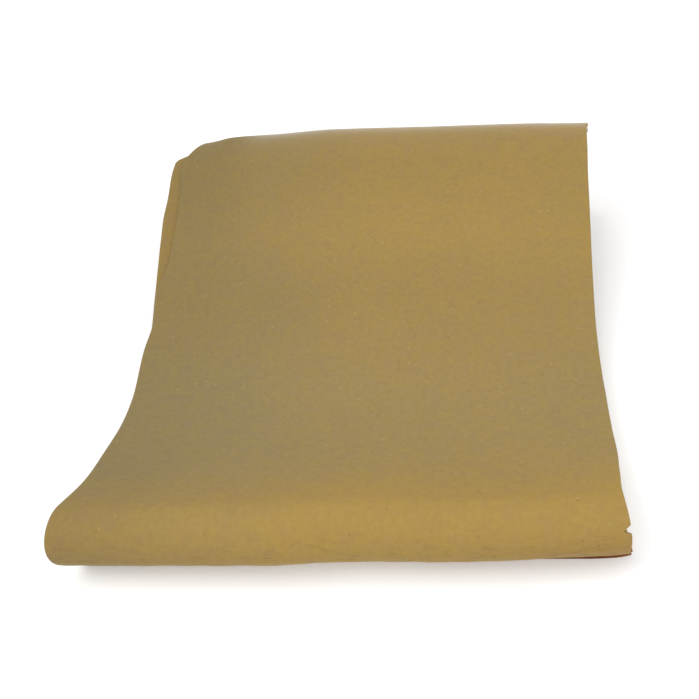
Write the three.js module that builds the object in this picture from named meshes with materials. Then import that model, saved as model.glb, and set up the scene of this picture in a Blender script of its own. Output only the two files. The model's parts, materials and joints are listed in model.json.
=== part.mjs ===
// Synthetic chamois cloth: one soft felted sheet, doubled sideways and then folded zigzag in three.
// Sizes are millimetres. +X runs along the front roll, +Y to the back, +Z up.
// The origin lies on the table, under the middle of the folded pack.

import * as THREE from 'three';

// The sheet as it is cut
const SHEET_WIDTH = 400;
const SHEET_LENGTH = 700;
const SHEET_THICKNESS = 1.8;

// Air between the layers
const PLY_GAP = 0.5;
const LEAF_GAP = 0.4;
const CUT_GAP = 0.3;

// The two soft bends, measured to the middle of the doubled sheet
const ROLL_RADIUS = 10;
const BACK_RADIUS = 25;

// The way the top leaf lies between them
const RAMP_ANGLE = THREE.MathUtils.degToRad(27);
const ROLL_BACK_RUN = 8;
const FREE_EDGE_DROOP = THREE.MathUtils.degToRad(25);
const BASE_SETBACK = 7;

// The folded left edge swells out beside the roll. On the top leaf it is drawn in some way before the free
// edge, and its corner is rounded off.
const ROLL_SPLAY = 8;
const SPLAY_REACH = 55;
const FREE_EDGE_INSET = 8.5;
const INSET_FULL_FROM_EDGE = 42;
const INSET_RUN = 50;
const CORNER_WIDTH = 8;
const CORNER_REACH = 12;

// Facets
const STEP_ANGLE = THREE.MathUtils.degToRad(14);
const STEP_LENGTH = 12;
const SIDE_FOLD_STEPS = 6;

const CHAMOIS_COLOUR = 0xa58a54;
const CHAMOIS_ROUGHNESS = 0.95;

// A leaf is two plies with air between them. Leaves lie on each other one spacing apart.
const LEAF_THICKNESS = 2 * SHEET_THICKNESS + PLY_GAP;
const LEAF_SPACING = LEAF_THICKNESS + LEAF_GAP;
const FOLD_INNER_RADIUS = PLY_GAP / 2;
const FOLD_OUTER_RADIUS = LEAF_THICKNESS / 2;
const SIDE_FOLD_ARC = Math.PI * (FOLD_INNER_RADIUS + FOLD_OUTER_RADIUS) / 2;
const PLY_WIDTH = (SHEET_WIDTH - SIDE_FOLD_ARC) / 2;

// Lengths and angles of the run between the bends, for a given distance between the two bends' axes.
// The top leaf dives off the roll, passes a short straight run, swings through the valley and climbs the
// ramp, so the valley's radius is the one that meets both tangents.
function runBetweenBends(spacing) {
  const half = Math.tan(RAMP_ANGLE / 2);
  const level = spacing - BACK_RADIUS / half + LEAF_SPACING / Math.tan(RAMP_ANGLE);
  const lift = 2 * ROLL_RADIUS - LEAF_SPACING;
  const b = 2 * level * half + 2 * lift;
  const c = level ** 2 + LEAF_SPACING * lift - ROLL_BACK_RUN ** 2;
  const valleyRadius = 2 * c / (b + Math.sqrt(b ** 2 - 4 * half ** 2 * c));
  const flat = level - valleyRadius * half;
  const climb = BACK_RADIUS * (1 + Math.cos(RAMP_ANGLE)) - LEAF_SPACING;
  const ramp = (climb - valleyRadius * (1 - Math.cos(RAMP_ANGLE))) / Math.sin(RAMP_ANGLE);
  const rise = valleyRadius - ROLL_RADIUS;
  const centres = Math.hypot(flat, rise);
  const dive = Math.asin((ROLL_RADIUS + valleyRadius - LEAF_SPACING) / centres) - Math.atan2(rise, flat);
  return { valleyRadius, flat, ramp, dive };
}

// The sheet's middle line as straight runs and arcs, leaf by leaf, from its front edge on the table to its
// free edge. A positive turn lifts the heading of the sheet as it goes.
function foldPlan(spacing) {
  const { valleyRadius, flat, ramp, dive } = runBetweenBends(spacing);
  const baseLength = spacing + ROLL_RADIUS + FOLD_OUTER_RADIUS - BASE_SETBACK;
  const crestRadius = BACK_RADIUS + LEAF_SPACING;
  return {
    base_leaf: [{ length: baseLength, turn: 0 }],
    back_bend: [arc(BACK_RADIUS, Math.PI + RAMP_ANGLE)],
    middle_leaf: [{ length: ramp, turn: 0 }, arc(valleyRadius, -RAMP_ANGLE), { length: flat, turn: 0 }],
    front_bend: [arc(ROLL_RADIUS, -Math.PI - dive)],
    top_leaf: [
      { length: ROLL_BACK_RUN, turn: 0 },
      arc(valleyRadius - LEAF_SPACING, RAMP_ANGLE + dive),
      { length: ramp, turn: 0 },
      arc(crestRadius, -RAMP_ANGLE - FREE_EDGE_DROOP),
    ],
  };
}

function arc(radius, turn) {
  return { length: radius * Math.abs(turn), turn };
}

function planLength(plan) {
  return Object.values(plan).flat().reduce((sum, run) => sum + run.length, 0);
}

// The bends stand as far apart as uses up the whole sheet.
function spacingForSheet() {
  let near = BACK_RADIUS / Math.tan(RAMP_ANGLE / 2) + ROLL_RADIUS;
  let far = near + SHEET_LENGTH;
  while (far - near > 1e-6) {
    const middle = (near + far) / 2;
    if (planLength(foldPlan(middle)) < SHEET_LENGTH) near = middle;
    else far = middle;
  }
  return near;
}

const BEND_SPACING = spacingForSheet();
const ROLL_AXIS_Y = -(BEND_SPACING + BACK_RADIUS - ROLL_RADIUS) / 2;
const BACK_AXIS_Y = ROLL_AXIS_Y + BEND_SPACING;
const BASE_HEIGHT = LEAF_THICKNESS / 2;
const ROLL_AXIS_Z = BASE_HEIGHT + LEAF_SPACING + ROLL_RADIUS;
const BACK_AXIS_Z = BASE_HEIGHT + BACK_RADIUS;
const BASE_EDGE_Y = ROLL_AXIS_Y - ROLL_RADIUS - FOLD_OUTER_RADIUS + BASE_SETBACK;

// The pack is centred between the swollen left edge and the cut right edge.
const LEFT_REACH = PLY_WIDTH + CUT_GAP + FOLD_OUTER_RADIUS + ROLL_SPLAY;
const RIGHT_EDGE_X = LEFT_REACH / 2;
const LEFT_EDGE_X = RIGHT_EDGE_X - PLY_WIDTH;

// The place and heading on one run of the plan, a given length after its start.
function along(start, run, length) {
  const turned = run.turn * length / run.length;
  if (run.turn === 0) {
    return {
      y: start.y + length * Math.cos(start.heading),
      z: start.z + length * Math.sin(start.heading),
      heading: start.heading,
    };
  }
  const radius = run.length / run.turn;
  const heading = start.heading + turned;
  return {
    y: start.y + radius * (Math.sin(heading) - Math.sin(start.heading)),
    z: start.z - radius * (Math.cos(heading) - Math.cos(start.heading)),
    heading,
  };
}

// The stations of one leaf or bend: places on the middle line, with what is left of the sheet beyond each.
// Half a cut gap is kept free at each end that meets a neighbour.
function stationsOf(start, runs, leftBefore, gapBefore, gapAfter) {
  const stations = [];
  let from = start;
  let left = leftBefore;
  runs.forEach((run, index) => {
    const first = index === 0 ? gapBefore : 0;
    const last = index === runs.length - 1 ? run.length - gapAfter : run.length;
    const steps = Math.ceil(Math.max(Math.abs(run.turn) / STEP_ANGLE, run.length / STEP_LENGTH));
    for (let step = index === 0 ? 0 : 1; step <= steps; step += 1) {
      const length = first + (last - first) * step / steps;
      stations.push({ ...along(from, run, length), left: left - length });
    }
    left -= run.length;
    from = along(from, run, run.length);
  });
  return { stations, end: from, left };
}

// Where the plies end at the side fold: further out beside the roll, drawn in towards the free corner.
function leftEdge(station) {
  const behindRoll = Math.max(0, station.y - ROLL_AXIS_Y);
  const splay = ROLL_SPLAY * Math.exp(-((behindRoll / SPLAY_REACH) ** 2));
  const beforeInset = (station.left - INSET_FULL_FROM_EDGE) / INSET_RUN;
  const inset = FREE_EDGE_INSET * (1 - THREE.MathUtils.smoothstep(beforeInset, 0, 1));
  const corner = CORNER_WIDTH * Math.max(0, 1 - station.left / CORNER_REACH) ** 2;
  return LEFT_EDGE_X - splay + inset + corner;
}

// Outlines across the sheet, as [x, height above the middle line], anticlockwise.
function plyOutline(low) {
  return (station) => {
    const left = leftEdge(station);
    const high = low + SHEET_THICKNESS;
    return [[left, low], [RIGHT_EDGE_X, low], [RIGHT_EDGE_X, high], [left, high]];
  };
}

function sideFoldOutline(station) {
  const centre = leftEdge(station) - CUT_GAP;
  const outline = [];
  for (let step = 0; step <= SIDE_FOLD_STEPS; step += 1) {
    const angle = Math.PI / 2 + Math.PI * step / SIDE_FOLD_STEPS;
    outline.push([centre + FOLD_OUTER_RADIUS * Math.cos(angle), FOLD_OUTER_RADIUS * Math.sin(angle)]);
  }
  outline.push([centre, -FOLD_INNER_RADIUS], [centre - FOLD_INNER_RADIUS, 0], [centre, FOLD_INNER_RADIUS]);
  return outline;
}

// A closed solid swept along the stations, with the outline standing square to the middle line.
function sweep(stations, outlineAt, pivot) {
  const count = outlineAt(stations[0]).length;
  const positions = [];
  const faces = [];
  for (const station of stations) {
    for (const [x, height] of outlineAt(station)) {
      const y = station.y - height * Math.sin(station.heading);
      const z = station.z + height * Math.cos(station.heading);
      positions.push(x - pivot.x, y - pivot.y, z - pivot.z);
    }
  }
  for (let ring = 0; ring + 1 < stations.length; ring += 1) {
    for (let k = 0; k < count; k += 1) {
      const a = ring * count + k;
      const b = ring * count + (k + 1) % count;
      faces.push(a, a + count, b + count, a, b + count, b);
    }
  }
  const last = (stations.length - 1) * count;
  capFaces(outlineAt(stations[0])).forEach(([a, b, c]) => faces.push(a, b, c));
  capFaces(outlineAt(stations.at(-1))).forEach(([a, b, c]) => faces.push(last + a, last + c, last + b));
  const geometry = new THREE.BufferGeometry();
  geometry.setAttribute('position', new THREE.Float32BufferAttribute(positions, 3));
  geometry.setIndex(faces);
  geometry.computeVertexNormals();
  return geometry;
}

function capFaces(outline) {
  return THREE.ShapeUtils.triangulateShape(outline.map(([x, y]) => new THREE.Vector2(x, y)), []);
}

function piece(name, geometry) {
  const material = new THREE.MeshStandardMaterial({
    color: CHAMOIS_COLOUR,
    roughness: CHAMOIS_ROUGHNESS,
    metalness: 0,
  });
  const mesh = new THREE.Mesh(geometry, material);
  mesh.name = name;
  return mesh;
}

// The folded pack: the base leaf lies still, the middle leaf turns on the back bend and the top leaf on the
// roll. Each turning leaf has its own group, whose origin lies on the bend's axis.
const table = new THREE.Vector3(0, 0, 0);
const backAxis = new THREE.Vector3(0, BACK_AXIS_Y, BACK_AXIS_Z);
const rollAxis = new THREE.Vector3(0, ROLL_AXIS_Y, ROLL_AXIS_Z);
const cloth = new THREE.Group();
const middleGroup = new THREE.Group();
const topGroup = new THREE.Group();
middleGroup.position.copy(backAxis);
topGroup.position.copy(rollAxis).sub(backAxis);
cloth.add(middleGroup);
middleGroup.add(topGroup);

// For each leaf or bend: the group that carries it, and the words for the plies on its two sides.
// The side that faces up on the base leaf faces in at the back bend, down on the middle leaf and out at the
// roll.
const CARRIERS = {
  base_leaf: { group: cloth, pivot: table, sides: ['upper_ply', 'lower_ply'] },
  back_bend: { group: cloth, pivot: table, sides: ['inner_ply', 'outer_ply'] },
  middle_leaf: { group: middleGroup, pivot: backAxis, sides: ['lower_ply', 'upper_ply'] },
  front_bend: { group: middleGroup, pivot: backAxis, sides: ['outer_ply', 'inner_ply'] },
  top_leaf: { group: topGroup, pivot: rollAxis, sides: ['upper_ply', 'lower_ply'] },
};

const plan = foldPlan(BEND_SPACING);
const names = Object.keys(plan);
let place = { y: BASE_EDGE_Y, z: BASE_HEIGHT, heading: 0 };
let sheetLeft = SHEET_LENGTH;
names.forEach((name, index) => {
  const gapBefore = index === 0 ? 0 : CUT_GAP / 2;
  const gapAfter = index === names.length - 1 ? 0 : CUT_GAP / 2;
  const { stations, end, left } = stationsOf(place, plan[name], sheetLeft, gapBefore, gapAfter);
  const { group, pivot, sides } = CARRIERS[name];
  const plies = [FOLD_INNER_RADIUS, -FOLD_OUTER_RADIUS];
  sides.forEach((side, which) => {
    group.add(piece(`${name}_${side}`, sweep(stations, plyOutline(plies[which]), pivot)));
  });
  group.add(piece(`${name}_side_fold`, sweep(stations, sideFoldOutline, pivot)));
  place = end;
  sheetLeft = left;
});

export default cloth;
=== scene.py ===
# %% [markdown]
# # A folded synthetic chamois cloth
# The real thing is one soft, felted sheet for drying wet surfaces. It is cut 400 by 700 mm, doubled
# sideways so that its left edge is a fold, and then folded zigzag in three: a base leaf on the table, a
# middle leaf that comes forward again, and a top leaf that goes back over both. The front fold is a soft
# round roll, and the back fold is a wide bend that holds the top leaf up like a ramp.
#
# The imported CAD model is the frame: it gives the leaves, the two fold axes and every size. This lesson
# makes the cloth around it as one continuous surface, then its nap and its colour, and lights it as a
# studio would.

# %% Load the frame
import json
import math

import bpy
import numpy as np
from mathutils import Matrix, Vector


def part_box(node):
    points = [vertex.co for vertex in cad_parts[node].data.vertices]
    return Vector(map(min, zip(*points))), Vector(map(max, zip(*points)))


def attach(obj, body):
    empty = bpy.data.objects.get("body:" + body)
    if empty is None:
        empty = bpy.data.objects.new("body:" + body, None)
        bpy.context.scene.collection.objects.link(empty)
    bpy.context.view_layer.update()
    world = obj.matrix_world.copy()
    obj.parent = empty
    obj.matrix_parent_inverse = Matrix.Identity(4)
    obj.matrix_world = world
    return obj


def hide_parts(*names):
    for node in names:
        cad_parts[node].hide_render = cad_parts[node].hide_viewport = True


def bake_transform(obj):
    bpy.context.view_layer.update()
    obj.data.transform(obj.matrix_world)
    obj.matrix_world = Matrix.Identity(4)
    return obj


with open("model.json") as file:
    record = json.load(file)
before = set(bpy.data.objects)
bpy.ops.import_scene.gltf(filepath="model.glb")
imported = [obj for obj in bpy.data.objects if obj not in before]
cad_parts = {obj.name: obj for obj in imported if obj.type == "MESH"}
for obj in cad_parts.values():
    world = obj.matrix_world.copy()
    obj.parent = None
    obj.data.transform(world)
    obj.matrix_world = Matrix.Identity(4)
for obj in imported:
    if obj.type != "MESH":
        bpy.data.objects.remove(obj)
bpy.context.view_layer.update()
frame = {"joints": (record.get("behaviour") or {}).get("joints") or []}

MM = 0.001

# %% [markdown]
# ## The sizes, read from the frame
# The folded pack has a leaf's thickness, two fold radii and a width. They could be typed in again here,
# but then the looks would stay behind when the model changes. So each size comes from a CAD node's box
# or from a joint's axis. Only the few angles and lengths that a box can't give are written here, as they
# are in the model.

# %% Sizes of the folded pack
joints = {joint["name"]: joint for joint in frame["joints"]}
ROLL_AXIS = Vector(joints["front_fold"]["pos_m"])
BACK_AXIS = Vector(joints["back_fold"]["pos_m"])

ply_low, ply_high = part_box("base_leaf_upper_ply")
PLY = ply_high.z - ply_low.z
LEAF = ply_high.z
PLY_GAP = LEAF - 2 * PLY
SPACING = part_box("middle_leaf_lower_ply")[0].z
ROLL_RADIUS = ROLL_AXIS.z - SPACING - LEAF / 2
BACK_RADIUS = BACK_AXIS.z - LEAF / 2
LEFT_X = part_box("back_bend_inner_ply")[0].x
RIGHT_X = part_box("back_bend_inner_ply")[1].x
MIDDLE_X = (LEFT_X + RIGHT_X) / 2
WIDTH = RIGHT_X - LEFT_X
FRONT_Y = ROLL_AXIS.y - ROLL_RADIUS - LEAF / 2
BACK_Y = BACK_AXIS.y + BACK_RADIUS + LEAF / 2
BASE_EDGE_Y = ply_low.y

RAMP_ANGLE = math.radians(27)
FREE_EDGE_DROOP = math.radians(25)
ROLL_BACK_RUN = 8 * MM
SHEET_WIDTH = 400 * MM
SHEET_LENGTH = 700 * MM

print("leaf", round(LEAF / MM, 2), "mm thick, folded width", round(WIDTH / MM, 1), "mm")
print("roll radius", round(ROLL_RADIUS / MM, 2), "mm, back radius", round(BACK_RADIUS / MM, 2), "mm")

# %% [markdown]
# ## The camera
# The photograph looks down on the cloth from in front, a little from the right, with the camera turned a
# few degrees. A camera can be placed by eye, but a match is surer: its place was found by laying the
# outline of the folded pack over the photograph's. The lens is given as the distance in pixels that a
# 699-pixel frame needs, because that is how such a match is worked out.

# %% Place the camera
IMAGE_PIXELS = 699
FOCAL_PIXELS = 750
SENSOR_MM = 36
CAMERA_PITCH = math.radians(47.17)
CAMERA_YAW = math.radians(12.28)
CAMERA_ROLL = math.radians(-10.03)
CAMERA_FROM_FRONT = Vector((46.3, -120.3, 258.5)) * MM


def make_camera():
    """A camera that looks down by the pitch, turned by the yaw about Z and by the roll about its view."""
    cos_pitch, sin_pitch = math.cos(CAMERA_PITCH), math.sin(CAMERA_PITCH)
    cos_yaw, sin_yaw = math.cos(CAMERA_YAW), math.sin(CAMERA_YAW)
    forward = Vector((-sin_yaw * cos_pitch, cos_yaw * cos_pitch, -sin_pitch))
    level = Vector((cos_yaw, sin_yaw, 0))
    upright = level.cross(forward)
    right = level * math.cos(CAMERA_ROLL) + upright * math.sin(CAMERA_ROLL)
    up = upright * math.cos(CAMERA_ROLL) - level * math.sin(CAMERA_ROLL)
    data = bpy.data.cameras.new("photo_camera")
    data.sensor_width = SENSOR_MM
    data.lens = SENSOR_MM * FOCAL_PIXELS / IMAGE_PIXELS
    made = bpy.data.objects.new("photo_camera", data)
    bpy.context.scene.collection.objects.link(made)
    axes = Matrix((right, up, -forward)).transposed().to_4x4()
    made.matrix_world = Matrix.Translation(Vector((0, FRONT_Y, 0)) + CAMERA_FROM_FRONT) @ axes
    bpy.context.scene.camera = made
    return made


camera = make_camera()
print("camera at", [round(v, 3) for v in camera.location], "lens", round(camera.data.lens, 2))

# %% [markdown]
# ## The fold line
# Seen from the side, the doubled sheet follows one line: straight runs and arcs, as a strip of card would
# be bent. A cloth simulation could drop a sheet into folds, but they can't be told where to lie, and this
# cloth was laid by hand to a plain rule. So the line is worked out.
#
# One radius has to be solved for. The valley behind the roll is an arc that touches both the ramp and the
# dive off the roll, and the straight run between the two circles is known. That gives a quadratic.

# %% Solve the valley


def solve_valley():
    """The valley's radius, the level run, the ramp's run and the angle of the dive off the roll."""
    half = math.tan(RAMP_ANGLE / 2)
    reach = BACK_AXIS.y - ROLL_AXIS.y
    level = reach - BACK_RADIUS / half + SPACING / math.tan(RAMP_ANGLE)
    lift = 2 * ROLL_RADIUS - SPACING
    linear = 2 * level * half + 2 * lift
    constant = level**2 + SPACING * lift - ROLL_BACK_RUN**2
    radius = 2 * constant / (linear + math.sqrt(linear**2 - 4 * half**2 * constant))
    flat = level - radius * half
    climb = BACK_RADIUS * (1 + math.cos(RAMP_ANGLE)) - SPACING
    ramp = (climb - radius * (1 - math.cos(RAMP_ANGLE))) / math.sin(RAMP_ANGLE)
    rise = radius - ROLL_RADIUS
    tangent = math.asin((ROLL_RADIUS + radius - SPACING) / math.hypot(flat, rise))
    return radius, flat, ramp, tangent - math.atan2(rise, flat)


VALLEY_RADIUS, FLAT_RUN, RAMP_RUN, DIVE_ANGLE = solve_valley()
dive_degrees = round(math.degrees(DIVE_ANGLE), 1)
print("valley radius", round(VALLEY_RADIUS / MM, 1), "mm, dive off the roll", dive_degrees, "degrees")

# %% [markdown]
# ## Runs and bends
# The sheet is made in three lengths, which meet where one leaf turns against the next. Each length is a
# list of runs and bends with a step for its points. The step could be the same everywhere, but the roll
# and the raised edge are what the eye follows, so they get the finest steps and hidden leaves the widest.

# %% Plan the runs and bends
BASE_STEP = 2.0 * MM
HIDDEN_STEP = 2.5 * MM
SHOWN_STEP = 1.2 * MM
CREST_STEP = 0.6 * MM
ROLL_STEP = 0.5 * MM


def run(length, step):
    return {"length": length, "turn": 0.0, "step": step}


def bend(radius, turn, step):
    return {"length": radius * abs(turn), "turn": turn, "step": step}


FOLD_PLAN = {
    "lower": [
        run(BACK_AXIS.y - BASE_EDGE_Y, BASE_STEP),
        bend(BACK_RADIUS, math.pi + RAMP_ANGLE, SHOWN_STEP),
    ],
    "middle": [
        run(RAMP_RUN, HIDDEN_STEP),
        bend(VALLEY_RADIUS, -RAMP_ANGLE, HIDDEN_STEP),
        run(FLAT_RUN, HIDDEN_STEP),
    ],
    "upper": [
        bend(ROLL_RADIUS, -math.pi - DIVE_ANGLE, ROLL_STEP),
        run(ROLL_BACK_RUN, SHOWN_STEP),
        bend(VALLEY_RADIUS - SPACING, RAMP_ANGLE + DIVE_ANGLE, SHOWN_STEP),
        run(RAMP_RUN, SHOWN_STEP),
        bend(BACK_RADIUS + SPACING, -RAMP_ANGLE - FREE_EDGE_DROOP, CREST_STEP),
    ],
}
planned = sum(stretch["length"] for stretches in FOLD_PLAN.values() for stretch in stretches)
print("the plan is", round(planned / MM, 1), "mm long, and the sheet", round(SHEET_LENGTH / MM), "mm")

# %% [markdown]
# ## Walking the line
# A bend's points could be placed from the centres of its arcs. Walking is simpler: from a place and a
# heading, each run or bend leads to the next place and heading. It also keeps the distance walked at
# every point. That distance later becomes the texture's second coordinate, so the felt runs through the
# folds without stretching.

# %% Walk the fold line


def walk(start, stretch, distance):
    """The place (y, z) and heading, a distance into one run or bend that starts at start."""
    y, z, heading = start
    if stretch["turn"] == 0:
        return y + distance * math.cos(heading), z + distance * math.sin(heading), heading
    radius = stretch["length"] / stretch["turn"]
    turned = heading + distance / radius
    y += radius * (math.sin(turned) - math.sin(heading))
    z -= radius * (math.cos(turned) - math.cos(heading))
    return y, z, turned


def rail_points(start, along, stretches):
    """Points (along, y, z, heading) about one step apart, and the state at the end of the last stretch."""
    points = [(along, *start)]
    for stretch in stretches:
        count = max(2, round(stretch["length"] / stretch["step"]))
        for index in range(1, count + 1):
            distance = stretch["length"] * index / count
            points.append((along + distance, *walk(start, stretch, distance)))
        start = walk(start, stretch, stretch["length"])
        along += stretch["length"]
    return points, start, along


rails = {}
reached, walked = (BASE_EDGE_Y, LEAF / 2, 0.0), 0.0
for name, stretches in FOLD_PLAN.items():
    rails[name], reached, walked = rail_points(reached, walked, stretches)
    print(name, "rail:", len(rails[name]), "points, to", round(walked / MM, 1), "mm along the sheet")
FREE_EDGE = walked
BASE_LENGTH = FOLD_PLAN["lower"][0]["length"]
ROLL_START = rails["upper"][0][0]
ROLL_END = ROLL_START + FOLD_PLAN["upper"][0]["length"]

# %% [markdown]
# ## The lines that make it a handled cloth
# No edge of the real cloth is straight. The left fold swells out beside the roll and is drawn in at the
# top leaf's back corner, the cut edge on the right wanders and has three small nicks, the roll's front
# line wavers, and the raised end arches up in the middle. These could be sculpted by hand, but a script
# needs them written down. So each is a short table of places and distances in millimetres, read off the
# photograph's outline, and a smooth curve goes through it.

# %% Tables for the edges
# Along the sheet from the start of each length, and how far the left fold or right edge stands out.
LEFT_LINES = {
    "lower": [
        (0, 5.0), (20, 5.0), (54, 2.0), (155, 1.8), (188, 0.0), (215, -3.0), (245, -10.0),
        (259, -9.2), (265, -6.0), (268, -2.1), (271, -1.6), (279, -0.9),
    ],
    "middle": [
        (0, -0.9), (10, -0.3), (20, 1.0), (30, 1.3), (60, 1.6), (130, 1.8), (165, 5.0), (181, 5.0),
    ],
    "upper": [
        (0, 5.0), (8, 7.5), (15, 8.8), (30, 8.0), (52, 5.2), (72, 4.3), (86, 2.6), (100, 1.8),
        (128, 1.6), (136, 0.0), (143, -0.6), (151, -0.3), (157, -1.2), (166, -4.8), (180, -6.6),
        (204, -8.2), (222, -8.0), (228, -10.1), (234, -12.0), (240, -14.0),
    ],
}
RIGHT_LINES = {
    "lower": [(0, 1.8), (12, 0.8), (40, 0.0), (279, -0.5)],
    "middle": [(0, -0.5), (150, -0.5), (181, -2.0)],
    "upper": [
        (0, -2.0), (8, -0.2), (14, -1.2), (20, -1.7), (25, -2.4), (33, -3.4), (48, -1.9), (62, -0.4),
        (76, -0.1), (130, 0.0), (190, 0.9), (216, 1.6), (228, 2.6), (240, 5.0),
    ],
}
# How far the upper length's lower ply is drawn in at the cut edge, so that it stays behind a nick.
INNER_PLY_LINE = [(10, 0.0), (17, 5.0), (27, 5.0), (34, 0.0)]
# Each nick's place along the upper length, its depth, and how far it runs before and after that place.
NICKS = [(22.2, 2.8, 0.5, 2.2), (227.5, 1.0, 0.7, 0.9), (234.5, 1.5, 1.1, 0.9)]
# Across the cloth by x: how far the roll and the base leaf lie back, and how high the raised end arches.
ROLL_FRONT_LINE = [
    (-98, -0.2), (-54, -0.9), (-10, -1.0), (2, -0.3), (50, -0.5), (70, 0.0), (85, 0.9), (95, 1.3),
    (104, 2.1),
]
BASE_FRONT_LINE = [(80, 0.3), (90, 0.0), (97, 0.2), (100, 0.4), (104, 1.2)]
CREST_ARCH_LINE = [
    (-96, 0.9), (-76, 1.7), (-62, 2.1), (-30, 3.2), (5, 2.7), (35, 1.6), (85, 0.1), (104, -1.0),
]
print("the left fold is drawn with", sum(len(line) for line in LEFT_LINES.values()), "points")

# %% A smooth curve through a table


def smooth_line(table, places):
    """Heights of a smooth curve through a table of (place, height) in millimetres, at places in metres."""
    x, y = np.array(table, float).T * MM
    slope = np.gradient(y, x)
    places = np.clip(places, x[0], x[-1])
    index = np.clip(np.searchsorted(x, places, "right") - 1, 0, len(x) - 2)
    width = x[index + 1] - x[index]
    s = (places - x[index]) / width
    start = y[index] * (1 + 2 * s) * (1 - s) ** 2 + y[index + 1] * s**2 * (3 - 2 * s)
    return start + width * s * (1 - s) * (slope[index] * (1 - s) - slope[index + 1] * s)


arch_in_middle = smooth_line(CREST_ARCH_LINE, np.array([MIDDLE_X]))[0]
print("the raised end arches by", round(arch_in_middle / MM, 1), "mm in its middle")

# %% [markdown]
# ## Rail and outline as plain wire meshes
# A sweep needs two wires: the rail that it follows and the outline that it carries along. Both could be
# drawn as curves, but a curve's points can't easily carry numbers of their own, and a mesh's can. So each
# wire is a mesh of vertices and edges, and every vertex holds what a formula needs later. A rail vertex
# knows the distance along the sheet, the direction square to it and how the edges wander there.

# %% Make the rails
END_THINNING = 0.7
THINNING_RUN = 1.2 * MM


def wire(name, points, closed, attributes):
    """A mesh of vertices and edges only, with one float or vector attribute for each name."""
    mesh = bpy.data.meshes.new(name)
    count = len(points)
    edges = [(i, i + 1) for i in range(count - 1)]
    if closed:
        edges.append((count - 1, 0))
    mesh.from_pydata(points, edges, [])
    for key, values in attributes.items():
        values = np.asarray(values, np.float32)
        kind, part = ("FLOAT", "value") if values.ndim == 1 else ("FLOAT_VECTOR", "vector")
        attribute = mesh.attributes.new(key, kind, "POINT")
        attribute.data.foreach_set(part, values.ravel())
    made = bpy.data.objects.new(name, mesh)
    bpy.context.scene.collection.objects.link(made)
    return made


def nick_depths(along):
    """How deep the nicks cut, at distances along the upper length: each is a sharp, lopsided notch."""
    depths = np.zeros_like(along)
    for middle, depth, before, after in NICKS:
        gap = along / MM - middle
        depths += depth * MM * np.clip(np.where(gap < 0, 1 + gap / before, 1 - gap / after), 0, 1)
    return depths


def rail_wire(name):
    along, y, z, heading = np.array(rails[name]).T
    zero = np.zeros_like(y)
    from_start = along - along[0]
    to_cut_end = np.minimum(along, FREE_EDGE - along)
    places = np.stack([zero, y, z], 1)
    attributes = {
        "along": along,
        "rail": places,
        "square": np.stack([zero, -np.sin(heading), np.cos(heading)], 1),
        "thin": END_THINNING + (1 - END_THINNING) * np.clip(to_cut_end / THINNING_RUN, 0, 1),
        "left_edge": -smooth_line(LEFT_LINES[name], from_start),
        "right_edge": smooth_line(RIGHT_LINES[name], from_start),
        "nicks": nick_depths(from_start) if name == "upper" else zero,
        "inner_draw": smooth_line(INNER_PLY_LINE, from_start) if name == "upper" else zero,
    }
    return wire(name + "_rail", places.tolist(), False, attributes)


rail_wires = {name: rail_wire(name) for name in rails}
print("rail vertices:", {name: len(made.data.vertices) for name, made in rail_wires.items()})

# %% [markdown]
# ## The outline that is swept
# Cut across, the doubled sheet is a long flat hairpin: out along one ply, round the side fold, back along
# the other ply, and the same way again inside. A single surface with a Solidify modifier could stand for
# it, but the real plies show at the cut edge, so the hairpin has its full thickness and slightly rounded
# cuts. Each vertex knows its place across, its height above the middle line, the height of its ply's own
# middle, and whether it is on an outer face.

# %% Draw the hairpin
EDGE_ROUND = 0.45 * MM
FOLD_ARC_STEPS = 12
# Steps across the upper face, the lower face and the hidden inner faces.
OUTLINE_STEPS = {
    "lower": (2.2 * MM, 1.6 * MM, 8 * MM),
    "middle": (2.5 * MM, 2.5 * MM, 8 * MM),
    "upper": (1.0 * MM, 3.0 * MM, 8 * MM),
}


def face_points(start, end, height, step):
    count = max(2, round(abs(end - start) / step))
    return [(x, height) for x in np.linspace(start, end, count + 1)]


def hairpin(name):
    """Stretches of [x, height] points, each with +1 or -1 on an outer face and 0 elsewhere."""
    upper_step, lower_step, inner_step = OUTLINE_STEPS[name]
    outer, inner = LEAF / 2, PLY_GAP / 2
    near_edge = RIGHT_X - EDGE_ROUND
    angles = np.linspace(math.pi / 2, 3 * math.pi / 2, FOLD_ARC_STEPS + 1)[1:-1]
    return [
        (face_points(near_edge, LEFT_X, outer, upper_step), 1.0),
        ([(LEFT_X + outer * math.cos(a), outer * math.sin(a)) for a in angles], 0.0),
        (face_points(LEFT_X, near_edge, -outer, lower_step), -1.0),
        ([(RIGHT_X, -outer + EDGE_ROUND), (RIGHT_X, -inner - EDGE_ROUND)], 0.0),
        (face_points(near_edge, LEFT_X, -inner, inner_step), 0.0),
        ([(LEFT_X - inner, 0.0)], 0.0),
        (face_points(LEFT_X, near_edge, inner, inner_step), 0.0),
        ([(RIGHT_X, inner + EDGE_ROUND), (RIGHT_X, outer - EDGE_ROUND)], 0.0),
    ]


print("the hairpin has", len(hairpin("upper")), "stretches")

# %% Make the outlines
TOUCHING = 1e-6


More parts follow.
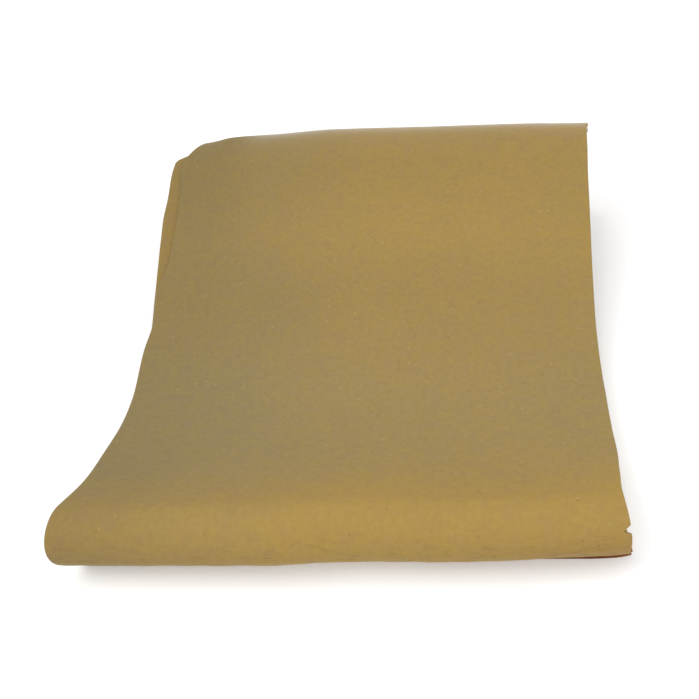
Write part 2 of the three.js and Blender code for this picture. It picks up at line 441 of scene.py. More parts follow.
def outline_wire(name):
    stretches = hairpin(name)
    x, height = np.concatenate([points for points, _ in stretches]).T
    ply_middle = np.sign(height) * (PLY_GAP + PLY) / 2
    attributes = {
        "place": x,
        "height": height,
        "core": np.where(x < LEFT_X - TOUCHING, height, ply_middle),
        "across": np.clip((x - LEFT_X) / WIDTH, 0, 1),
        "outer_face": np.concatenate([np.full(len(points), side) for points, side in stretches]),
        "roll_front": smooth_line(ROLL_FRONT_LINE, x),
        "base_front": smooth_line(BASE_FRONT_LINE, x),
        "crest_arch": smooth_line(CREST_ARCH_LINE, x),
    }
    flat = np.stack([x, height, np.zeros_like(x)], 1)
    return wire(name + "_outline", flat.tolist(), True, attributes)


outline_wires = {name: outline_wire(name) for name in rails}
print("outline vertices:", {name: len(made.data.vertices) for name, made in outline_wires.items()})

# %% [markdown]
# ## Writing formulas with nodes
# Nodes can move points and mix colours by a formula, but thirty Math nodes are hard to read when each is
# wired by hand. The small class below wraps a node's output, so that a plus sign in the script makes an
# Add node. The tree is the same, and the script reads like the sum that it stands for.

# %% Helpers that add nodes


def connect(tree, value, socket):
    """Links a field or a socket to a socket, or sets the socket's own value."""
    value = getattr(value, "socket", value)
    if isinstance(value, bpy.types.NodeSocket):
        tree.links.new(value, socket)
    else:
        socket.default_value = value


def add_node(tree, kind, inputs=None, **settings):
    node = tree.nodes.new(kind)
    for key, value in settings.items():
        setattr(node, key, value)
    for key, value in (inputs or {}).items():
        connect(tree, value, node.inputs[key])
    return node


print("made connect and add_node")

# %% Sums as nodes


class Field:
    """A node's output that can be added, multiplied and so on, each time with a Math node."""

    def __init__(self, tree, socket):
        self.tree = tree
        self.socket = socket

    def maths(self, operation, *others):
        return field(self.tree, "ShaderNodeMath", dict(enumerate((self, *others))), operation=operation)

    def __add__(self, other):
        return self.maths("ADD", other)

    def __sub__(self, other):
        return self.maths("SUBTRACT", other)

    def __rsub__(self, number):
        return field(self.tree, "ShaderNodeMath", {0: number, 1: self}, operation="SUBTRACT")

    def __mul__(self, other):
        return self.maths("MULTIPLY", other)

    def __truediv__(self, other):
        return self.maths("DIVIDE", other)

    def __pow__(self, other):
        return self.maths("POWER", other)

    def over(self, low, high, to_low=0.0, to_high=1.0):
        """A smooth step: to_low where the field is at low, to_high where it is at high."""
        values = {"Value": self, "From Min": low, "From Max": high, "To Min": to_low, "To Max": to_high}
        return field(self.tree, "ShaderNodeMapRange", values, interpolation_type="SMOOTHSTEP")


def field(tree, kind, inputs=None, output=0, **settings):
    """Adds a node and wraps one of its outputs."""
    return Field(tree, add_node(tree, kind, inputs, **settings).outputs[output])


def combine(tree, x, y, z):
    return field(tree, "ShaderNodeCombineXYZ", {"X": x, "Y": y, "Z": z})


def split(vector):
    node = add_node(vector.tree, "ShaderNodeSeparateXYZ", {0: vector})
    return [Field(vector.tree, output) for output in node.outputs]


print("made Field, which turns + - * / ** into Math nodes, and field, combine and split")

# %% [markdown]
# ## The felt
# Synthetic chamois is a nonwoven: fine fibres needled into a felt, dyed tan, with no weave to see. A
# photograph could be wrapped round it, but its light would be baked in. So the finish is a node material
# in layers, from the widest to the finest.
#
# The pattern is placed by the cloth's UV map, which holds the flat sheet's own metres, so it follows the
# cloth through every fold. Three distances on the sheet, in millimetres, say where a point is: how far it
# lies from the side fold, how far past the start of the roll, and how far from the free edge.

# %% Where a point lies on the sheet
FELT = bpy.data.materials.new("tan_chamois_felt")
FELT.use_nodes = True
felt = FELT.node_tree
felt_shader = felt.nodes["Principled BSDF"]

sheet_uv = field(felt, "ShaderNodeUVMap", uv_map="UVMap")
sheet_mm = field(felt, "ShaderNodeVectorMath", {0: sheet_uv, "Scale": 1 / MM}, operation="SCALE")
sheet_x, sheet_y, _ = split(sheet_mm)
from_fold = (sheet_x - SHEET_WIDTH / MM / 2).maths("ABSOLUTE")
past_roll = sheet_y - ROLL_START / MM
to_end = FREE_EDGE / MM - sheet_y
print("material", FELT.name, "starts with", len(felt.nodes), "nodes")

# %% Helpers for the layers
# How far each layer of noise is moved over the sheet, so that no two layers line up.
LAYER_SHIFTS = {
    "blotch": (31, 57), "rising": (3, 11), "falling": (17, 5), "grain": (7, 43), "mottle": (61, 29),
    "pits": (2, 9), "nubs": (44, 23), "wrinkles": (5, 71), "breaks": (83, 19),
}
# A Mix node has a set of sockets for each kind of value, and these are the colour ones.
MIX_SHARE, MIX_FIRST, MIX_SECOND, MIX_RESULT = 0, 6, 7, 2
# A noise wavers about this value.
NOISE_MIDDLE = 0.5


def mixed(share, first, second):
    """The colour first where share is 0, and second where it is 1."""
    inputs = {MIX_SHARE: share, MIX_FIRST: first, MIX_SECOND: second}
    return field(felt, "ShaderNodeMix", inputs, MIX_RESULT, data_type="RGBA")


def washed(colour, wash):
    return field(felt, "ShaderNodeVectorMath", {0: colour, 1: wash}, operation="MULTIPLY")


def shifted(layer, slant=0.0, stretch=1.0):
    """The sheet's place moved by the layer's shift, turned by slant in radians and drawn out by stretch."""
    return field(felt, "ShaderNodeMapping", {
        "Vector": sheet_mm,
        "Location": (*LAYER_SHIFTS[layer], 0),
        "Rotation": (0, 0, slant),
        "Scale": (1 / stretch, 1.0, 1.0),
    })


def lumps(vector, size, detail, roughness=0.55):
    """Smooth noise from 0 to 1, with lumps of about the given size in millimetres."""
    inputs = {"Vector": vector, "Scale": 1 / size, "Detail": detail, "Roughness": roughness}
    return field(felt, "ShaderNodeTexNoise", inputs)


print("shifts for", len(LAYER_SHIFTS), "layers of noise")

# %% [markdown]
# ## The tan and its drift
# The colour changes over the sheet. It is golden on the roll and on the right, and greyer towards the side
# fold and in the valley: the golden roll is a painted highlight, and the grey towards the side fold and in
# the valley is painted shade. That could be painted as vertex colours, but smooth steps over the three
# distances stay sharp at any size. Soft patches of random tone break up the steps. Then two washes of faint
# colour go over the tan: blotches a few millimetres wide, and a cooler band behind the roll, which is
# painted cool light.

# %% The tan, its drift and its washes
GOLDEN_TAN = (0.347, 0.231, 0.0655, 1)
GREY_TAN = (0.262, 0.193, 0.0744, 1)
GOLDEN_TINT = (1.015, 1.00, 0.95, 1)
ROSE_TINT = (0.99, 0.965, 1.08, 1)
COOL_LIGHT_TINT = (0.97, 1.01, 1.13, 1)
NO_TINT = (1, 1, 1, 1)
DRIFT_MM = 60.0
BLOTCH_MM = 6.0
PATCH_CONTRAST = (0.30, 0.70)
BLOTCH_CONTRAST = (0.34, 0.68)
# Shares of grey: all over, painted shade at the side fold and in the valley, less grey on the roll as a
# painted highlight, and either way in the patches.
GREY_ALL_OVER = 0.3
FOLD_SHADE_GREY = 0.70
VALLEY_SHADE_GREY = 0.25
ROLL_HIGHLIGHT_GREY = -0.45
GREY_PATCHES = 0.1
# Where a change begins and ends, in millimetres.
FOLD_SIDE = (5, 125)
OFF_ROLL = (20, 60)
INTO_VALLEY = (45, 75)
OUT_OF_VALLEY = (60, 95)
INTO_COOL_LIGHT = (34, 60)
OUT_OF_COOL_LIGHT = (95, 150)

# Painted shade: greyer towards the side fold and in the valley. Painted highlight: less grey on the roll.
shade_toward_fold = from_fold.over(*FOLD_SIDE, FOLD_SHADE_GREY, 0.0)
shade_in_valley = past_roll.over(*INTO_VALLEY) * to_end.over(*OUT_OF_VALLEY)
highlight_on_roll = past_roll.over(*OFF_ROLL, ROLL_HIGHLIGHT_GREY, 0.0)
patches = lumps(sheet_mm, DRIFT_MM, detail=3.0).over(*PATCH_CONTRAST, -GREY_PATCHES, GREY_PATCHES)
drift = shade_toward_fold + shade_in_valley * VALLEY_SHADE_GREY + highlight_on_roll + patches + GREY_ALL_OVER
drift = drift.maths("MAXIMUM", 0.0).maths("MINIMUM", 1.0)
blotches = lumps(shifted("blotch"), BLOTCH_MM, detail=2.0).over(*BLOTCH_CONTRAST)
# The cooler band behind the roll is painted cool light.
cool_light_band = past_roll.over(*INTO_COOL_LIGHT) * past_roll.over(*OUT_OF_COOL_LIGHT, 1.0, 0.0)
tan = washed(mixed(drift, GOLDEN_TAN, GREY_TAN), mixed(blotches, GOLDEN_TINT, ROSE_TINT))
tan = washed(tan, mixed(cool_light_band, NO_TINT, COOL_LIGHT_TINT))
print("the tan takes", len(felt.nodes), "nodes")

# %% [markdown]
# ## Fibres, pits, nubs and wrinkles
# Close up, the felt is a faint tangle of fibres with small light nubs and small dark pits, and the roll's
# front has short broken wrinkles. Real fibres as geometry would be far too many. Two noises drawn out at
# slants give the tangle, one spot in some cells of a grid gives pits and nubs, and the thin line where a
# drawn-out noise is at its middle value gives a wrinkle, drawn darker as painted crease shade. The bump
# needs these layers again.

# %% Fibres, pits and nubs
STREAK_MM = 1.1
STREAK_SLANT = 0.6
STREAK_STRETCH = 2.0
GRAIN_MM = 0.8
GRAIN_ROUGHNESS = 0.65
MOTTLE_MM = 2.2
SPOT_CELL_MM = 4.2
SPOT_RADIUS_MM = 0.75
SPOT_CORE = 0.35
PIT_CELLS = 0.22
NUB_CELLS = 0.30


def spots(layer, chosen_cells):
    """1 inside a few round spots and 0 elsewhere: one spot in the chosen share of a grid's cells."""
    inputs = {"Vector": shifted(layer), "Scale": 1 / SPOT_CELL_MM, "Randomness": 1.0}
    cells = add_node(felt, "ShaderNodeTexVoronoi", inputs)
    red = field(felt, "ShaderNodeSeparateColor", {"Color": cells.outputs["Color"]})
    edge = SPOT_RADIUS_MM / SPOT_CELL_MM
    inside = Field(felt, cells.outputs["Distance"]).over(edge * SPOT_CORE, edge, 1.0, 0.0)
    return inside * red.maths("LESS_THAN", chosen_cells)


rising = lumps(shifted("rising", STREAK_SLANT, STREAK_STRETCH), STREAK_MM, detail=3.0)
falling = lumps(shifted("falling", -STREAK_SLANT, STREAK_STRETCH), STREAK_MM, detail=3.0)
streaks = rising.maths("MAXIMUM", falling)
grain = lumps(shifted("grain"), GRAIN_MM, detail=3.0, roughness=GRAIN_ROUGHNESS)
mottle = lumps(shifted("mottle"), MOTTLE_MM, detail=1.0)
pits = spots("pits", PIT_CELLS)
nubs = spots("nubs", NUB_CELLS)
print("fibres, pits and nubs take the felt to", len(felt.nodes), "nodes")

# %% Wrinkles, and the colour of the marks
PIT_AND_CREASE_SHADE_BROWN = (0.228, 0.149, 0.050, 1)
NUB_STRAW = (0.402, 0.293, 0.126, 1)
PIT_DEPTH = 0.45
NUB_DEPTH = 0.40
WRINKLE_SHADE_DEPTH = 0.45
WRINKLE_MM = 2.4
WRINKLE_SLANT = 0.12
WRINKLE_STRETCH = 4.0
WRINKLE_WIDTH = 0.045
BREAK_CONTRAST = (0.48, 0.60)
ONTO_WRINKLES = (5, 10)
OFF_WRINKLES = (16, 28)

drawn_out = lumps(shifted("wrinkles", WRINKLE_SLANT, WRINKLE_STRETCH), WRINKLE_MM, detail=2.0)
middle_line = (drawn_out - NOISE_MIDDLE).maths("ABSOLUTE").over(0.0, WRINKLE_WIDTH, 1.0, 0.0)
broken = lumps(shifted("breaks"), BLOTCH_MM, detail=1.0).over(*BREAK_CONTRAST)
on_front = past_roll.over(*ONTO_WRINKLES) * past_roll.over(*OFF_WRINKLES, 1.0, 0.0)
wrinkles = middle_line * broken * on_front
marked = mixed(pits * PIT_DEPTH, tan, PIT_AND_CREASE_SHADE_BROWN)
marked = mixed(nubs * NUB_DEPTH, marked, NUB_STRAW)
# The wrinkles are darkened with painted crease shade; their relief is in the bump below.
marked = mixed(wrinkles * WRINKLE_SHADE_DEPTH, marked, PIT_AND_CREASE_SHADE_BROWN)
print("with its marks the felt takes", len(felt.nodes), "nodes")

# %% [markdown]
# ## Painted shadow and shade, and grime
# The front edge of the base leaf is red-brown at its right end: painted shadow under the roll, with some
# grime. The roll's lower front has a faint painted shade at its right end. The cloth is also a little darker
# along the side fold, at the free edge and at the bottom of the roll, which is painted shade too. A separate
# texture could do this, but the three distances already say where those places are.

# %% Painted shadow, shade, grime and speckle
SHADOW_AND_GRIME_BROWN = (0.240, 0.080, 0.021, 1)
SHADOW_AND_GRIME_DEPTH = 0.9
SHADOW_AND_GRIME_EDGE = (1.5, 4.0)
SHADOW_AND_GRIME_SIDE = (120, 150)
ROLL_FOOT_SHADE_DEPTH = 0.18
ONTO_ROLL_FOOT = (2, 8)
OFF_ROLL_FOOT = (14, 24)
ROLL_FOOT_SIDE = (140, 195)
FOLD_SHADE_SPAN = (0, 65)
FOLD_SHADE_TONE = 0.905
END_SHADE_SPAN = (20, 70)
END_SHADE_TONE = 0.92
ROLL_BOTTOM_SHADE_SPAN = (12, 30)
ROLL_BOTTOM_SHADE_TONE = 0.94
STREAK_CONTRAST = (0.40, 0.72)
STREAK_TONE = 0.018
FINE_CONTRAST = (0.3, 0.7)
GRAIN_TONE = 0.015
MOTTLE_TONE = 0.03

# The base leaf's front edge at the right: painted shadow under the roll, with some grime.
shadow_and_grime = sheet_y.over(*SHADOW_AND_GRIME_EDGE, 1.0, 0.0) * from_fold.over(*SHADOW_AND_GRIME_SIDE)
# Painted shade on the roll's lower front, at its right end.
roll_foot_shade = past_roll.over(*ONTO_ROLL_FOOT) * past_roll.over(*OFF_ROLL_FOOT, 1.0, 0.0) * from_fold.over(*ROLL_FOOT_SIDE)
shadowed_and_grimy = mixed(shadow_and_grime * SHADOW_AND_GRIME_DEPTH + roll_foot_shade * ROLL_FOOT_SHADE_DEPTH, marked, SHADOW_AND_GRIME_BROWN)

speckle = streaks.over(*STREAK_CONTRAST, -STREAK_TONE, STREAK_TONE)
speckle = speckle + grain.over(*FINE_CONTRAST, -GRAIN_TONE, GRAIN_TONE)
speckle = speckle + mottle.over(*FINE_CONTRAST, -MOTTLE_TONE, MOTTLE_TONE) + 1.0
# Painted shade: a little darker along the side fold, at the free edge and at the bottom of the roll.
painted_shade = from_fold.over(*FOLD_SHADE_SPAN, FOLD_SHADE_TONE, 1.0) * to_end.over(*END_SHADE_SPAN, END_SHADE_TONE, 1.0)
painted_shade = painted_shade * past_roll.over(*ROLL_BOTTOM_SHADE_SPAN, ROLL_BOTTOM_SHADE_TONE, 1.0)
toned = field(felt, "ShaderNodeVectorMath", {0: shadowed_and_grimy, "Scale": speckle * painted_shade}, operation="SCALE")
connect(felt, toned, felt_shader.inputs["Base Color"])
print("the whole colour takes", len(felt.nodes), "nodes")

# %% [markdown]
# ## Nap and sheen
# Felt is matt, and its nap stands up a fraction of a millimetre. A bump from the layers above gives that
# relief without more faces. Where the raised end is seen nearly edge on, the nap catches the light as a
# pale rim. A sheen does that from every side, as it depends on the angle of view by itself. It is strong
# only along the raised end, where the nap is least pressed down.

# %% Nap and sheen
STREAK_RISE = 0.35
GRAIN_RISE = 0.3
NUB_RISE = 0.8
PIT_DROP = 0.6
WRINKLE_DROP = 0.9
NAP_HEIGHT = 0.2 * MM
NAP_STRENGTH = 0.5
SMOOTHEST = 0.86
ROUGHEST = 0.98
SPECULAR_LEVEL = 0.12
SHEEN_EVERYWHERE = 0.15
SHEEN_ALONG_END = 0.85
SHEEN_END = (18, 42)
SHEEN_FROM_FOLD = (20, 40)
SHEEN_ROUGHNESS = 0.35
SHEEN_TINT = (1.0, 0.97, 0.92, 1)

nap = streaks * STREAK_RISE + grain * GRAIN_RISE + nubs * NUB_RISE
nap = nap - pits * PIT_DROP - wrinkles * WRINKLE_DROP
bump_inputs = {"Height": nap, "Strength": NAP_STRENGTH, "Distance": NAP_HEIGHT}
connect(felt, field(felt, "ShaderNodeBump", bump_inputs), felt_shader.inputs["Normal"])
connect(felt, grain.over(*FINE_CONTRAST, SMOOTHEST, ROUGHEST), felt_shader.inputs["Roughness"])
standing_nap = to_end.over(*SHEEN_END, 1.0, 0.0) * from_fold.over(*SHEEN_FROM_FOLD)
connect(felt, standing_nap * SHEEN_ALONG_END + SHEEN_EVERYWHERE, felt_shader.inputs["Sheen Weight"])
felt_shader.inputs["Sheen Roughness"].default_value = SHEEN_ROUGHNESS
felt_shader.inputs["Sheen Tint"].default_value = SHEEN_TINT
felt_shader.inputs["Specular IOR Level"].default_value = SPECULAR_LEVEL
print("material", FELT.name, "has", len(felt.nodes), "nodes")

# %% [markdown]
# ## The folded sheet
# The sheet follows a rule, so a Geometry Nodes tree makes it. It could be modelled face by face, but then
# a new radius or width would mean starting again. The tree sweeps the outline along the rail and lays
# every point by a formula. It starts at the rail, goes across by the point's place and square to the
# sheet by its height. Everything that makes the cloth look handled is a term in that sum.
#
# The tree's inputs are the sizes below, so they can be changed in Blender too. Curve to Mesh makes this
# outline inside out, and Flip Faces turns it so that its faces point outwards.

# %% Sizes for the sheet's tree
SHEET_SIZES = {
    "Front skew": 7.6 * MM,
    "Back skew": 2.3 * MM,
    "Roll reach": 45 * MM,
    "Edge wobble": 0.5 * MM,
    "Fold wobble length": 26 * MM,
    "Fold wobble rise": 40 * MM,
    "Cut wobble length": 34 * MM,
    "Fray depth": 0.7 * MM,
    "Fray length": 1.6 * MM,
    "Wave height": 1.0 * MM,
    "Wave length": 70 * MM,
    "Edge lift": 1.0 * MM,
    "Lift length": 38 * MM,
    "Free wave length": 45 * MM,
    "Pucker height": 0.8 * MM,
    "Pucker width": 13 * MM,
    "Pucker length": 2.6 * MM,
    "Lump height": 0.18 * MM,
    "Lump length": 7 * MM,
    "Crease press": 0.35,
}
print(len(SHEET_SIZES), "sizes go into the sheet's tree")

# %% Sweep the outline along the rail


def new_tree(name, inputs):
    """A Geometry Nodes tree with the given named inputs, and its input and output nodes."""
    tree = bpy.data.node_groups.new(name, "GeometryNodeTree")
    tree.interface.new_socket("Geometry", in_out="INPUT", socket_type="NodeSocketGeometry")
    for key, kind in inputs.items():
        tree.interface.new_socket(key, in_out="INPUT", socket_type="NodeSocket" + kind)
    tree.interface.new_socket("Geometry", in_out="OUTPUT", socket_type="NodeSocketGeometry")
    return tree, tree.nodes.new("NodeGroupInput"), tree.nodes.new("NodeGroupOutput")


input_kinds = {"Outline": "Object", **{key: "Float" for key in SHEET_SIZES}, "Material": "Material"}
sheet_tree, given, result = new_tree("Folded sheet", input_kinds)
size = {key: Field(sheet_tree, given.outputs[key]) for key in SHEET_SIZES}

rail_curve = add_node(sheet_tree, "GeometryNodeMeshToCurve", {"Mesh": given.outputs["Geometry"]})
outline = add_node(sheet_tree, "GeometryNodeObjectInfo", {"Object": given.outputs["Outline"]})
outline_curve = add_node(sheet_tree, "GeometryNodeMeshToCurve", {"Mesh": outline.outputs["Geometry"]})
sweep = add_node(sheet_tree, "GeometryNodeCurveToMesh", {
    "Curve": rail_curve.outputs[0],
    "Profile Curve": outline_curve.outputs[0],
    "Fill Caps": True,
})
outward = add_node(sheet_tree, "GeometryNodeFlipFaces", {"Mesh": sweep.outputs[0]})
print("the sweep takes", len(sheet_tree.nodes), "nodes")

# %% [markdown]
# ## Laying the points across
# After the sweep every point still carries its wires' numbers, and a formula reads them back by name.
# First comes x. The left fold and the cut edge follow their lines, with a slow wobble on top, and the free
# edge frays. High powers of the share across keep the fray and the nicks to the cut edge itself.
#
# Then comes how far a point is pushed back in y. The roll lies a little skew, with its right end farther
# back, and its front line wavers. The push fades behind the roll as a bell curve does. It could be one
# turn of the whole cloth, but the back lies skew the other way.

# %% Read what the wires carry
SEEDS = {
    "fold wobble": 3.0, "cut wobble": 9.0, "fray": 12.0, "wave": 1.7,
    "lift": 6.0, "free wave": 2.0, "pucker": 5.0, "lump": 7.0,
}


def stored(name, kind="FLOAT"):
    return field(sheet_tree, "GeometryNodeInputNamedAttribute", {"Name": name}, "Attribute", data_type=kind)


def noise(x, y, layer, detail=2.0):
    """Smooth noise from about -0.5 to 0.5. x and y are already divided by the size of a lump."""
    inputs = {"Vector": combine(sheet_tree, x, y, SEEDS[layer]), "Scale": 1.0, "Detail": detail}
    return field(sheet_tree, "ShaderNodeTexNoise", inputs) - NOISE_MIDDLE


along, thin, place, height, core, across, outer_face = (
    stored(name) for name in ("along", "thin", "place", "height", "core", "across", "outer_face")
)
_, rail_y, rail_z = split(stored("rail", "FLOAT_VECTOR"))
_, square_y, square_z = split(stored("square", "FLOAT_VECTOR"))
to_free_edge = FREE_EDGE - along
upper_side = height.maths("GREATER_THAN", 0.0)
print("reading the wires takes the tree to", len(sheet_tree.nodes), "nodes")

# %% Lay the points across
CUT_WOBBLE_SHARE = 0.8
ONLY_THE_EDGE = 40.0
FRAY_FADE = (6 * MM, 18 * MM)

fold_wobble = noise(along / size["Fold wobble length"], rail_z / size["Fold wobble rise"], "fold wobble")
cut_wobble = noise(along / size["Cut wobble length"], 0.0, "cut wobble")
left = stored("left_edge") + size["Edge wobble"] * fold_wobble
right = stored("right_edge") + size["Edge wobble"] * cut_wobble * CUT_WOBBLE_SHARE
fray = noise(along / size["Fray length"], 0.0, "fray", detail=3.0) * to_free_edge.over(*FRAY_FADE, 1.0, 0.0)
drawn_in = stored("inner_draw") * (1.0 - upper_side)
cut_back = size["Fray depth"] * fray - stored("nicks") - drawn_in
x = place + left * (1.0 - across) + right * across + cut_back * across**ONLY_THE_EDGE
print("x takes the tree to", len(sheet_tree.nodes), "nodes")

# %% Push the points back
BASE_FADE = 25 * MM
BASE_RISE = 40 * MM

frontness = (BACK_Y - rail_y) / (BACK_Y - FRONT_Y)
behind_roll = (rail_y - ROLL_AXIS.y).maths("MAXIMUM", 0.0) / size["Roll reach"]
bell = (behind_roll * behind_roll * -1).maths("EXPONENT")
beside_roll = bell * along.over(BASE_LENGTH, BASE_LENGTH + BASE_RISE)
turn = size["Front skew"] * frontness - size["Back skew"] * (1.0 - frontness)
push = turn * (x - MIDDLE_X) / WIDTH + stored("roll_front") * beside_roll
push = push + stored("base_front") * along.over(0.0, BASE_FADE, 1.0, 0.0)
print("the push back takes the tree to", len(sheet_tree.nodes), "nodes")

# %% [markdown]
# ## Laying the points up
# Now the height. The raised part of the pack waves a little, all leaves together, while the base stays
# flat on the table, and its end arches. The upper ply lifts off the lower one here and there along the cut
# edge, the side fold is pressed flat, the roll's front has fine puckers, and both faces are slightly
# lumpy, as felt is. A Displace modifier could add one such relief, but the terms have to know which ply
# and which leaf a point is on.

# %% Lay the points up
# A noise along one line is read in a row of its own.
LIFT_ROW = 4.0
FREE_WAVE_ROW = 8.0
LIFT_CONTRAST = (-0.12, 0.25)
NEAR_THE_EDGE = 7.0
TOP_LEAF_FADE = 60 * MM
FREE_WAVE_FADE = 45 * MM
ONTO_PUCKERS = (ROLL_START + 3 * MM, ROLL_START + 9 * MM)
OFF_PUCKERS = (ROLL_START + 15 * MM, ROLL_START + 24 * MM)
PRESSED_SHARE = 0.08

wave = noise(x / size["Wave length"], rail_y / size["Wave length"], "wave", detail=1.0) * size["Wave height"]
raised = wave * rail_z.over(LEAF, BACK_AXIS.z) + stored("crest_arch") * rail_z.over(LEAF, 2 * BACK_RADIUS)

on_top = along.over(ROLL_END, ROLL_END + TOP_LEAF_FADE)
lifted = noise(along / size["Lift length"], LIFT_ROW, "lift").over(*LIFT_CONTRAST)
free_wave = noise(x / size["Free wave length"], FREE_WAVE_ROW, "free wave")
free_wave = free_wave * to_free_edge.over(0.0, FREE_WAVE_FADE, 1.0, 0.0)
lift = size["Edge lift"] * across**NEAR_THE_EDGE * lifted * upper_side * on_top
lift = lift + size["Edge lift"] * free_wave * on_top

on_puckers = along.over(*ONTO_PUCKERS) * along.over(*OFF_PUCKERS, 1.0, 0.0)
pucker = noise(x / size["Pucker width"], along / size["Pucker length"], "pucker")
pucker = pucker * size["Pucker height"] * on_puckers
lump = noise(x / size["Lump length"], along / size["Lump length"], "lump", detail=4.0)
lump = lump * size["Lump height"]

pressed = across.over(0.0, PRESSED_SHARE, 1.0, 0.0) * on_top * size["Crease press"]
laid_flat = (core + (height - core) * thin) * (1.0 - pressed) - pressed * (LEAF / 2)
proud = laid_flat + lift + (pucker + lump) * outer_face

position = combine(sheet_tree, x, rail_y + push + square_y * proud, rail_z + raised + square_z * proud)
laid = add_node(sheet_tree, "GeometryNodeSetPosition", {"Geometry": outward.outputs[0], "Position": position})
print("laying the points takes the tree to", len(sheet_tree.nodes), "nodes")

# %% [markdown]
# ## The flat sheet's own map, and crisp cuts
# A UV map is usually unwrapped, and that would stretch somewhere. Here the flat sheet is known: its width
# runs from the upper ply's cut edge round the fold to the lower ply's, and its length is the distance
# walked. Stored in metres, it is the map. The faces are shaded smooth, but a cut edge is crisp on the real
# cloth, so edges that turn sharply are left unsmoothed.

# %% Map, shade and paint the sheet
# An edge that turns by more than this, in radians, is left crisp.
CRISP_ANGLE = 0.7

from_cut = RIGHT_X - place
lower_side = height.maths("LESS_THAN", 0.0)
flat_x = from_cut + lower_side * (SHEET_WIDTH - from_cut * 2)
mapped = add_node(
    sheet_tree, "GeometryNodeStoreNamedAttribute",
    {"Geometry": laid.outputs[0], "Name": "UVMap", "Value": combine(sheet_tree, flat_x, along, 0.0)},
    data_type="FLOAT2", domain="CORNER",
)
smooth = add_node(sheet_tree, "GeometryNodeSetShadeSmooth", {"Geometry": mapped.outputs[0]})
turned = field(sheet_tree, "GeometryNodeInputMeshEdgeAngle", output="Unsigned Angle")
sharp = turned.maths("GREATER_THAN", CRISP_ANGLE)
crisp = add_node(
    sheet_tree, "GeometryNodeSetShadeSmooth",
    {"Geometry": smooth.outputs[0], "Selection": sharp, "Shade Smooth": False},
    domain="EDGE",
)
real = add_node(sheet_tree, "GeometryNodeRealizeInstances", {"Geometry": crisp.outputs[0]})
painted = add_node(sheet_tree, "GeometryNodeSetMaterial", {
    "Geometry": real.outputs[0],
    "Material": given.outputs["Material"],
})
connect(sheet_tree, painted.outputs[0], result.inputs[0])
print("the sheet's tree has", len(sheet_tree.nodes), "nodes")

# %% [markdown]
# ## Three lengths of one sheet
# The real cloth is one piece. One mesh could show it, but a mesh can bend over only one joint here, and
# the cloth has two. So the tree makes it in three lengths that meet end to end. Each is turned into a
# plain mesh, because what is exported can't keep a modifier, and its wires are taken away.

# %% Make the three lengths


def run_tree(made, tree, values, name):
    """Runs a tree on an object, removes that object and returns the result as a plain mesh object."""
    modifier = made.modifiers.new(tree.name, "NODES")
    modifier.node_group = tree
    for item in tree.interface.items_tree:
        if item.in_out == "INPUT" and item.name in values:
            modifier[item.identifier] = values[item.name]
    depsgraph = bpy.context.evaluated_depsgraph_get()
    mesh = bpy.data.meshes.new_from_object(made.evaluated_get(depsgraph))
    mesh.name = name
    piece = bpy.data.objects.new(name, mesh)
    bpy.context.scene.collection.objects.link(piece)
    bpy.data.objects.remove(made)
    return piece


sheets = {}
for name in rails:
    tree_values = {**SHEET_SIZES, "Outline": outline_wires[name], "Material": FELT}
    sheets[name] = run_tree(rail_wires[name], sheet_tree, tree_values, name + "_sheet")
    bpy.data.objects.remove(outline_wires[name])
    triangles = sum(len(face.vertices) - 2 for face in sheets[name].data.polygons)
    print(sheets[name].name, triangles, "triangles")

# %% [markdown]
# ## Joining the cloth to the frame
# The lower length bends from the base leaf to the middle leaf at the back, the upper length from the
# middle leaf to the top leaf at the roll. They could be cut at the bends and would then tear when the
# cloth opens. Here the lower and upper lengths keep their places, with their transforms baked into their
# meshes, the middle length rides on the middle leaf's body, and the CAD nodes that each length stands for
# are hidden.

# %% What each length stands for
LEAF_PARTS = ("upper_ply", "lower_ply", "side_fold")
BEND_PARTS = ("inner_ply", "outer_ply", "side_fold")


def parts_of(group, parts):
    return [f"{group}_{part}" for part in parts]


STANDS_FOR = {
    "lower": parts_of("base_leaf", LEAF_PARTS) + parts_of("back_bend", BEND_PARTS),
    "middle": parts_of("middle_leaf", LEAF_PARTS),
    "upper": parts_of("front_bend", BEND_PARTS) + parts_of("top_leaf", LEAF_PARTS),
}
print("CAD nodes shown:", {name: len(nodes) for name, nodes in STANDS_FOR.items()})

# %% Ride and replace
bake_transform(sheets["lower"])
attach(sheets["middle"], "middle")
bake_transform(sheets["upper"])
for name, piece in sheets.items():
    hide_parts(*STANDS_FOR[name])

# %% [markdown]
# ## Floor and light
# A catalogue picture of a cloth wants a plain white floor and light so broad that only soft shading is
# left. One big lamp could do that, but it would leave one side flat. A lamp on each side and a smaller one
# above shape the roll and give it a soft shadow. The floor glows a little, as a back-lit studio table
# does, so that it stays white and its shadows stay pale.

# %% Floor
FLOOR_REACH = 30.0
FLOOR_WHITE = (0.9, 0.9, 0.9, 1)
FLOOR_ROUGHNESS = 0.9
FLOOR_GLOW = 0.15
PURE_WHITE = (1.0, 1.0, 1.0, 1)


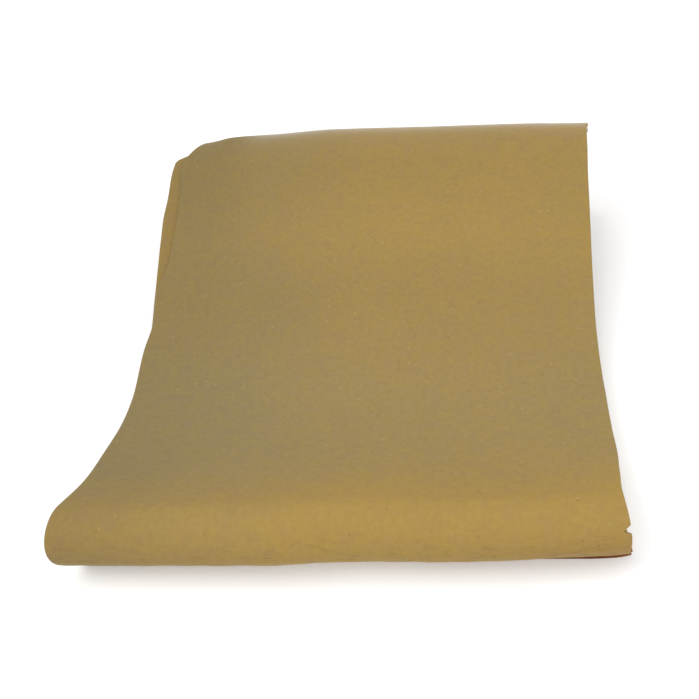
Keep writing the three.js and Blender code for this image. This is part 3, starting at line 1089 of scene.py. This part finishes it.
def make_floor():
    mesh = bpy.data.meshes.new("studio_floor")
    turns = ((-1, -1), (1, -1), (1, 1), (-1, 1))
    mesh.from_pydata([(x * FLOOR_REACH, y * FLOOR_REACH, 0) for x, y in turns], [], [(0, 1, 2, 3)])
    made = bpy.data.objects.new("studio_floor", mesh)
    bpy.context.scene.collection.objects.link(made)
    material = bpy.data.materials.new("white_floor")
    material.use_nodes = True
    shader = material.node_tree.nodes["Principled BSDF"]
    shader.inputs["Base Color"].default_value = FLOOR_WHITE
    shader.inputs["Roughness"].default_value = FLOOR_ROUGHNESS
    shader.inputs["Emission Color"].default_value = PURE_WHITE
    shader.inputs["Emission Strength"].default_value = FLOOR_GLOW
    mesh.materials.append(material)
    return made


floor = make_floor()
print(floor.name, "is", round(2 * FLOOR_REACH), "m wide")

# %% Lamps and sky
SKY_STRENGTH = 0.78
LAMP_AIM = Vector((0, 0, 0.02))
# Each lamp's place and diameter in metres, and its power in watts.
LAMPS = {
    "right_lamp": ((0.7, -0.6, 1.0), 0.6, 3.6),
    "top_lamp": ((-0.25, 0.08, 1.4), 0.25, 2.4),
    "left_lamp": ((-0.6, -0.25, 1.15), 0.5, 4.2),
}


def area_lamp(name, spot, diameter, power):
    data = bpy.data.lights.new(name, "AREA")
    data.shape = "DISK"
    data.size = diameter
    data.energy = power
    made = bpy.data.objects.new(name, data)
    made.location = spot
    made.rotation_euler = (LAMP_AIM - Vector(spot)).to_track_quat("-Z", "Y").to_euler()
    bpy.context.scene.collection.objects.link(made)
    return made


lamps = [area_lamp(name, *values) for name, values in LAMPS.items()]

world = bpy.data.worlds.new("studio")
bpy.context.scene.world = world
world.use_nodes = True
sky = world.node_tree.nodes["Background"]
sky.inputs["Color"].default_value = PURE_WHITE
sky.inputs["Strength"].default_value = SKY_STRENGTH
bpy.context.scene.view_settings.view_transform = "Standard"
bpy.context.scene.view_settings.look = "None"
print("lamps:", [lamp.name for lamp in lamps], "and a sky of strength", SKY_STRENGTH)
